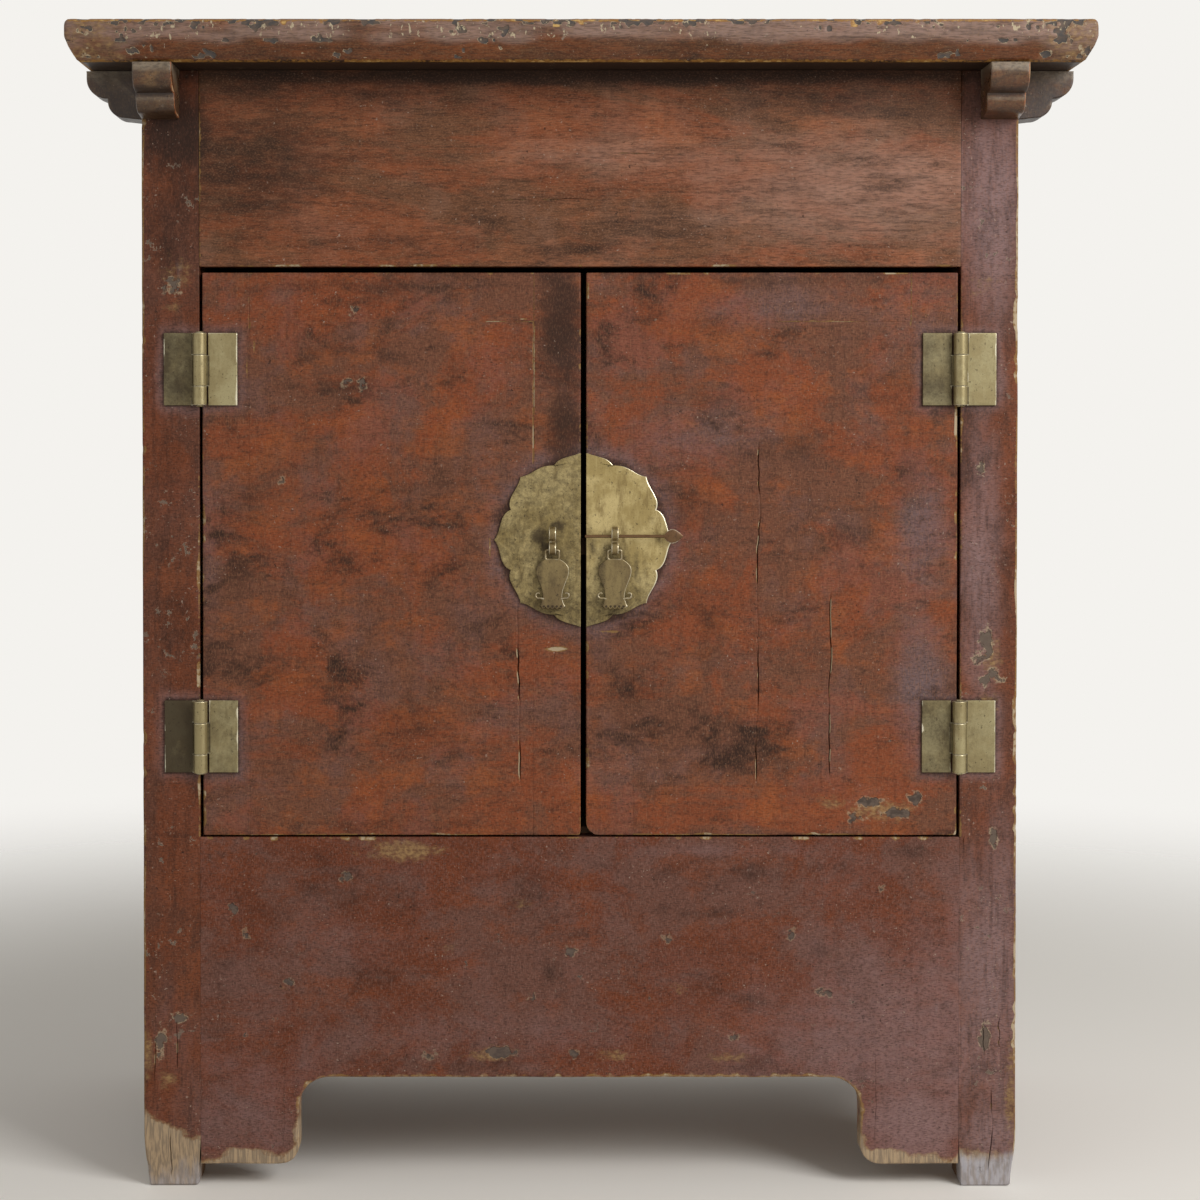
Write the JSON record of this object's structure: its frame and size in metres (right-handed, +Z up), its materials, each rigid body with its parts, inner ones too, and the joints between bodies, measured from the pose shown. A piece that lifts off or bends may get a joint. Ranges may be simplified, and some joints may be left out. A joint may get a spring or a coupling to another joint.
{
  "type": "tall sideboard",
  "caption": "Tall red-lacquered sideboard with an overhanging top, flush double doors, brass hinges, a round split lock plate with drop pulls, and an arched lower apron.",
  "frame": {"origin": "on the floor, under the middle of the top", "axes": "+Z up, +X to the right of someone who faces the doors, +Y from the doors to the back"},
  "size_m": [1.002, 0.524, 1.156],
  "materials": {
    "red_lacquer": "worn red-brown lacquer over softwood, satin, with dark smudges, cracks and chips",
    "brown_lacquer": "thin brown-red lacquer with the board's level grain showing through",
    "worn_lacquer": "rubbed and chipped red-brown lacquer with bare edges",
    "bare_wood": "aged unfinished softwood",
    "old_brass": "old olive-gold brass with dark patina"
  },
  "bodies": {
    "carcass": {"front_left_post": "red_lacquer", "front_right_post": "red_lacquer", "back_left_post": "red_lacquer", "back_right_post": "red_lacquer", "top_front_rail": "worn_lacquer", "top_back_rail": "worn_lacquer", "top_left_rail": "worn_lacquer", "top_right_rail": "worn_lacquer", "top_panel": "worn_lacquer", "frieze_board": "brown_lacquer", "well_board": "red_lacquer", "left_side_top_rail": "red_lacquer", "left_side_panel": "red_lacquer", "left_side_apron": "red_lacquer", "right_side_top_rail": "red_lacquer", "right_side_panel": "red_lacquer", "right_side_apron": "red_lacquer", "back_top_rail": "red_lacquer", "back_panel": "red_lacquer", "back_apron": "red_lacquer", "left_corbel": "worn_lacquer", "right_corbel": "worn_lacquer", "left_front_bracket": "worn_lacquer", "right_front_bracket": "worn_lacquer", "left_back_bracket": "worn_lacquer", "right_back_bracket": "worn_lacquer", "shelf": "bare_wood", "deck": "bare_wood", "well_floor": "bare_wood", "left_upper_hinge_post_leaf": "old_brass", "left_upper_hinge_pin": "old_brass", "left_lower_hinge_post_leaf": "old_brass", "left_lower_hinge_pin": "old_brass", "right_upper_hinge_post_leaf": "old_brass", "right_upper_hinge_pin": "old_brass", "right_lower_hinge_post_leaf": "old_brass", "right_lower_hinge_pin": "old_brass"},
    "left_door": {"left_door_hinge_stile": "red_lacquer", "left_door_meeting_stile": "red_lacquer", "left_door_top_rail": "red_lacquer", "left_door_bottom_rail": "red_lacquer", "left_door_panel": "red_lacquer", "left_upper_hinge_door_leaf": "old_brass", "left_lower_hinge_door_leaf": "old_brass", "left_lock_plate": "old_brass", "left_staple": "old_brass"},
    "right_door": {"right_door_hinge_stile": "red_lacquer", "right_door_meeting_stile": "red_lacquer", "right_door_top_rail": "red_lacquer", "right_door_bottom_rail": "red_lacquer", "right_door_panel": "red_lacquer", "right_upper_hinge_door_leaf": "old_brass", "right_lower_hinge_door_leaf": "old_brass", "right_lock_plate": "old_brass", "right_staple": "old_brass"},
    "left_pull": {"left_pull": "old_brass"},
    "right_pull": {"right_pull": "old_brass"},
    "lock_pin": {"lock_pin": "old_brass"},
    "deck_hatch": {"deck_hatch": "bare_wood"}
  },
  "joints": [
    {"name": "left_door_hinge", "type": "hinge", "parent": "carcass", "child": "left_door", "pos_m": [-0.3775, -0.20525, 0.6335], "axis": [0, 0, -1], "range_deg": [0, 170]},
    {"name": "right_door_hinge", "type": "hinge", "parent": "carcass", "child": "right_door", "pos_m": [0.3775, -0.20525, 0.6335], "axis": [0, 0, 1], "range_deg": [0, 170]},
    {"name": "left_pull_swing", "type": "hinge", "parent": "left_door", "child": "left_pull", "pos_m": [-0.0275, -0.2076, 0.6384], "axis": [-1, 0, 0], "range_deg": [-4, 95]},
    {"name": "right_pull_swing", "type": "hinge", "parent": "right_door", "child": "right_pull", "pos_m": [0.0345, -0.2076, 0.6384], "axis": [-1, 0, 0], "range_deg": [-4, 95]},
    {"name": "lock_pin_slide", "type": "slide", "parent": "right_door", "child": "lock_pin", "axis": [1, 0, 0], "range_m": [-0.043, 0.03]},
    {"name": "deck_hatch_lift", "type": "slide", "parent": "carcass", "child": "deck_hatch", "axis": [0, 0, 1], "range_m": [0, 0.15]}
  ]
}
